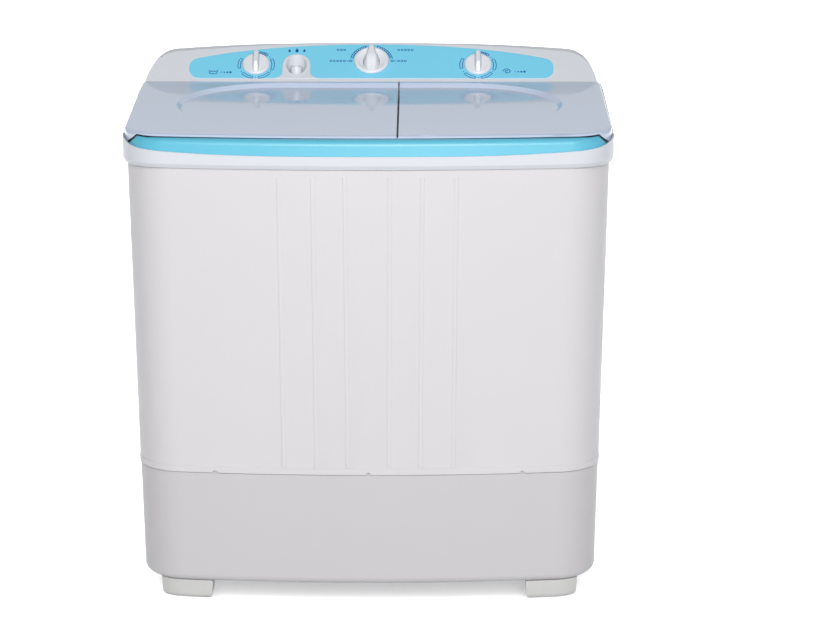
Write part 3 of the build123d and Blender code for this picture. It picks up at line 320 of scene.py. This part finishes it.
def make_knobs():
    def blade_half(v):
        return 4.3 * MM

    def blade_top(v):
        return 0.30 + 0.70 * smooth_step(-0.85, -0.15, v)

    def drop_half(v):
        return (4.6 + 4.9 * smooth_step(0.75, -0.15, v) - 3.0 * smooth_step(-0.25, -0.95, v)) * MM

    def drop_top(v):
        return 0.22 + 0.78 * smooth_step(-0.95, 0.15, v)

    for name, body, joint in (
        ("wash_timer_knob", "wash_timer", "wash_timer_turn"),
        ("spin_timer_knob", "spin_timer", "spin_timer_turn"),
    ):
        place = joint_place(joint)
        disc = knob_disc(name + "_disc", body, name, place, 3.6 * MM, 0.0)
        knob_fin(name + "_grip", body, name, place, blade_half, blade_top, 0.94, -0.86)
        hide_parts(name)
    place = joint_place("mode_select")
    disc = knob_disc("mode_knob_disc", "mode_selector", "mode_knob", place, 4.0 * MM, 2.2 * MM)
    knob_fin("mode_knob_grip", "mode_selector", "mode_knob", place, drop_half, drop_top, 0.97, -0.9)
    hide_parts("mode_knob")


# ---------------------------------------------------------------- printing on the fascia
INK_LIFT = 0.10 * MM
DIAL_LINE = 1.15 * MM
SYMBOL_LINE = 1.3 * MM
RING_LINE = 1.0 * MM
DIAL_INNER = 25.4 * MM
DIAL_OUTER = 29.6 * MM


def stroke(bm, points, width, height, closed=False):
    """Flat ribbon of ink along a line."""
    left, right = [], []
    count = len(points)
    for i, (x, y) in enumerate(points):
        before = points[(i - 1) % count] if closed or i else points[i]
        after = points[(i + 1) % count] if closed or i < count - 1 else points[i]
        way = Vector((after[0] - before[0], after[1] - before[1])).normalized() * width / 2
        left.append((x - way.y, y + way.x))
        right.append((x + way.y, y - way.x))
    rows = []
    for i in range(count):
        (lx, ly), (rx, ry) = left[i], right[i]
        low = height - INK_LIFT
        rows.append([(lx, ly, low), (rx, ry, low), (rx, ry, height), (lx, ly, height)])
    if closed:
        rows.append(rows[0])
    skin(bm, rows, capped=not closed)
    if closed:
        bmesh.ops.remove_doubles(bm, verts=bm.verts, dist=0.001 * MM)


def arc(radius, start, end, centre=(0.0, 0.0), steps=None):
    """Points along an arc, with its angles in degrees."""
    steps = steps or max(int(abs(end - start) / 4), 2)
    turns = [radians(start + (end - start) * i / steps) for i in range(steps + 1)]
    return [(centre[0] + radius * cos(a), centre[1] + radius * sin(a)) for a in turns]


def patch(bm, outline, height):
    """Flat patch of ink inside an outline."""
    skin(bm, [[(x, y, z) for x, y in outline] for z in (height - INK_LIFT, height)])


def dot(bm, x, y, radius, height):
    patch(bm, arc(radius, 0, 330, (x, y), 11), height)


def growing_dots(bm, x, y, height):
    """Four dots in a row, each larger than the last."""
    for step in range(4):
        dot(bm, x + (13 + 5 * step) * MM, y - 1 * MM, (1.0 + 0.35 * step) * MM, height)


def ink_height(place):
    return max(p.z for p in local_points("console_fascia", place)) + INK_LIFT


def dial_marks(name, joint):
    """Ring of outlined scale segments with dots between them."""
    place = joint_place(joint)
    height = ink_height(place)
    bm = bmesh.new()
    for start, end in ((80, 50), (28, -22), (-38, -80), (-100, -140), (-165, -210)):
        outline = arc(DIAL_INNER, start, end) + arc(DIAL_OUTER, end, start)
        stroke(bm, outline, DIAL_LINE, height, closed=True)
    for turn in (74, 68, 62, 56):
        hatch = [arc(DIAL_INNER, turn, turn + 1)[0], arc(DIAL_OUTER, turn + 3, turn + 4)[0]]
        stroke(bm, hatch, DIAL_LINE, height)
    for turn in (38, -30, -90, -150):
        x, y = arc((DIAL_INNER + DIAL_OUTER) / 2, turn, turn + 1)[0]
        dot(bm, x, y, 0.9 * MM, height)
    return solid(name, bm, "machine", "ink_blue", place, smooth=False)


def mode_marks():
    """Two hatched sweeps that rise from a small ring on each side of the selector."""
    place = joint_place("mode_select")
    height = ink_height(place)
    inner, outer = 31.0 * MM, 34.5 * MM
    bm = bmesh.new()
    for side in (-1, 1):
        def point(radius, turn):
            x, y = arc(radius, turn, turn + 1)[0]
            return (x * side, y)

        for radius in (inner, outer):
            stroke(bm, [point(radius, turn) for turn in range(10, 77, 3)], DIAL_LINE, height)
        for turn in range(16, 74, 8):
            stroke(bm, [point(inner, turn), point(outer, turn + 2)], DIAL_LINE, height)
        ring = arc(2.0 * MM, 0, 345, (side * 33.5 * MM, 0.8 * MM), 23)
        stroke(bm, ring, DIAL_LINE, height, closed=True)
        x0 = side * 35.8 * MM
        stroke(bm, [(x0, 0.8 * MM), (x0 + side * 4.5 * MM, 0.8 * MM)], DIAL_LINE, height)
    return solid("mode_marks", bm, "machine", "ink_blue", place, smooth=False)


def pictograms():
    """Plain symbols: a tub with a wave, a spiral, three drops, and rows of rings beside the selector."""
    place = joint_place("wash_timer_turn")
    height = ink_height(place)
    bm = bmesh.new()
    x, y = -69.0 * MM, -15.0 * MM
    tub = [(x + u * MM, y + v * MM) for u, v in ((-7, 4), (-5.6, -4), (5.6, -4), (7, 4))]
    stroke(bm, tub, SYMBOL_LINE, height)
    wave = [(x + u * MM, y + (1.2 + 0.9 * sin(u * 1.4)) * MM) for u in range(-5, 6)]
    stroke(bm, wave, SYMBOL_LINE, height)
    growing_dots(bm, x, y, height)
    solid("wash_symbol", bm, "machine", "ink_blue", place, smooth=False)

    place = joint_place("spin_timer_turn")
    bm = bmesh.new()
    x, y = 47.0 * MM, -13.5 * MM
    spiral = []
    for turn in range(0, 560, 20):
        reach = (1.0 + 0.0105 * turn) * MM
        spiral.append((x + reach * cos(radians(turn)), y + reach * sin(radians(turn)) * 0.9))
    stroke(bm, spiral, SYMBOL_LINE, height)
    growing_dots(bm, x, y, height)
    solid("spin_symbol", bm, "machine", "ink_blue", place, smooth=False)

    place = joint_place("wash_timer_turn")
    low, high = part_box("inlet_cup")
    x = (low[0] + high[0]) / 2 - place.translation.x
    bm = bmesh.new()
    for shift in (-12, 0, 12):
        size = (2.1 if shift else 2.8) * MM
        y = 30.5 * MM
        drop = arc(size, -215, 35, (x + shift * MM, y), 14) + [(x + shift * MM, y + size * 2.2)]
        patch(bm, drop, height)
    solid("water_symbol", bm, "machine", "ink_blue", place, smooth=False)

    place = joint_place("mode_select")
    bm = bmesh.new()
    for side, row, count in ((-1, 0.8, 5), (1, 0.8, 3), (-1, 25.0, 3), (1, 25.0, 5)):
        for step in range(count):
            x = side * (44 + 5.5 * step) * MM
            ring = arc(1.6 * MM, 0, 340, (x, row * MM), 17)
            stroke(bm, ring, RING_LINE, height, closed=True)
    solid("mode_symbols", bm, "machine", "ink_blue", place, smooth=False)


def inlet_spigot():
    """Upright tube in the filling bowl, standing on the bowl's floor around the cup's own spigot."""
    low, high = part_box("inlet_cup")
    x = (low[0] + high[0]) / 2
    points = [v.co for v in NODES["inlet_cup"].data.vertices]
    floor_z = low[2] + 2.0 * MM
    lower_y = high[1] - 6.0 * MM
    tube = [p for p in points if abs(p.x - x) < 9.6 * MM and p.z > floor_z + 4 * MM and p.y < lower_y]
    y = (min(p.y for p in tube) + max(p.y for p in tube)) / 2
    top = max(p.z for p in tube if abs(hypot(p.x - x, p.y - y) - 9.5 * MM) < 0.3 * MM) + 4 * MM
    outline = [(9.9, floor_z), (9.7, top - 1.2 * MM), (9.3, top - 0.3 * MM), (8.8, top)]
    outline += [(8.0, top - 0.1 * MM), (7.6, top - 0.9 * MM), (7.6, floor_z + 1.0 * MM)]
    rows = []
    for radius, z in outline:
        rows.append([(x + px, y + py, z) for px, py in arc(radius * MM, 0, 355, steps=71)])
    bm = bmesh.new()
    skin(bm, rows + rows[:1], capped=False)
    bmesh.ops.remove_doubles(bm, verts=bm.verts, dist=0.01 * MM)
    return solid("inlet_spigot", bm, "machine", "white_abs")


make_knobs()
inlet_spigot()
dial_marks("wash_dial_marks", "wash_timer_turn")
dial_marks("spin_dial_marks", "spin_timer_turn")
mode_marks()
pictograms()


# ---------------------------------------------------------------- stage, lights and camera
def make_stage():
    """Pale floor. Its bounce is left to the world below, which is how a studio floor off the set would be."""
    bpy.ops.mesh.primitive_plane_add(size=60, location=(0, 0, -0.0005))
    floor = bpy.context.object
    floor.name = "studio_floor"
    material, tree, shader, coords = new_material("studio_floor")
    broad = noise(tree, coords, 0.7, 2.0)
    tree.links.new(ramp(tree, broad, (0.93, 0.93, 0.93), (0.95, 0.95, 0.95)), shader.inputs["Base Color"])
    shader.inputs["Roughness"].default_value = 0.9
    shader.inputs["Specular IOR Level"].default_value = 0.1
    floor.data.materials.append(material)
    floor.visible_diffuse = False
    return floor


def sun(name, turn, lift, spread_angle, power):
    """Soft light from far away: turn is the side it comes from, lift is how high, in degrees."""
    data = bpy.data.lights.new(name, "SUN")
    data.energy = power
    data.angle = radians(spread_angle)
    light = bpy.data.objects.new(name, data)
    light.rotation_euler = (radians(90 - lift), 0, radians(turn))
    bpy.context.scene.collection.objects.link(light)
    return light


def softbox(name, place, target, size, power):
    """Rectangular light at a place, turned towards a target."""
    data = bpy.data.lights.new(name, "AREA")
    data.shape = "RECTANGLE"
    data.size, data.size_y = size
    data.energy = power
    light = bpy.data.objects.new(name, data)
    light.location = place
    light.rotation_euler = (Vector(target) - Vector(place)).to_track_quat("-Z", "Y").to_euler()
    bpy.context.scene.collection.objects.link(light)


def map_range(tree, value, from_low, from_high, to_low, to_high):
    node = tree.nodes.new("ShaderNodeMapRange")
    node.interpolation_type = "SMOOTHSTEP"
    node.inputs["From Min"].default_value = from_low
    node.inputs["From Max"].default_value = from_high
    node.inputs["To Min"].default_value = to_low
    node.inputs["To Max"].default_value = to_high
    tree.links.new(value, node.inputs["Value"])
    return node.outputs["Result"]


def math_node(tree, operation, a, b):
    node = tree.nodes.new("ShaderNodeMath")
    node.operation = operation
    for socket, value in zip(node.inputs, (a, b)):
        if isinstance(value, float):
            socket.default_value = value
        else:
            tree.links.new(value, socket)
    return node.outputs["Value"]


def make_world():
    """Bright backdrop behind the object, just above the horizon, and a dim, slightly blue room elsewhere."""
    world = bpy.data.worlds.new("studio")
    world.use_nodes = True
    tree = world.node_tree
    background = tree.nodes["Background"]
    background.inputs["Color"].default_value = (0.94, 0.97, 1.0, 1)
    coords = tree.nodes.new("ShaderNodeTexCoord")
    split = tree.nodes.new("ShaderNodeSeparateXYZ")
    tree.links.new(coords.outputs["Generated"], split.inputs["Vector"])
    behind = map_range(tree, split.outputs["Y"], 0.1, 0.8, 0.0, 0.75)
    not_high = map_range(tree, split.outputs["Z"], 0.45, 0.85, 1.0, 0.0)
    below = map_range(tree, split.outputs["Z"], -0.5, 0.1, 0.36, 0.13)
    not_low = map_range(tree, split.outputs["Z"], -0.05, 0.2, 0.1, 1.0)
    backdrop = math_node(tree, "MULTIPLY", math_node(tree, "MULTIPLY", behind, not_high), not_low)
    tree.links.new(math_node(tree, "ADD", backdrop, below), background.inputs["Strength"])
    bpy.context.scene.world = world


def make_lights(floor):
    sun("key", 4, 18, 30, 1.86)
    softbox("overhead", (0.0, -1.9, 1.9), (0, -0.2, 0.7), (1.6, 0.9), 16)
    only_floor = bpy.data.collections.new("lit_floor")
    only_floor.objects.link(floor)
    floor_light = sun("floor_light", 0, 80, 120, 6.0)
    floor_light.data.use_shadow = False
    floor_light.light_linking.receiver_collection = only_floor
    bpy.context.scene.view_settings.view_transform = "Standard"


def make_camera():
    data = bpy.data.cameras.new("camera")
    data.sensor_width = 36.0
    data.lens = 119.64
    data.clip_end = 100.0
    camera = bpy.data.objects.new("camera", data)
    camera.location = (0.079, -4.220, 1.450)
    camera.rotation_euler = (radians(90 - 13.9), 0, radians(0.236))
    bpy.context.scene.collection.objects.link(camera)
    bpy.context.scene.camera = camera


make_world()
make_lights(make_stage())
make_camera()
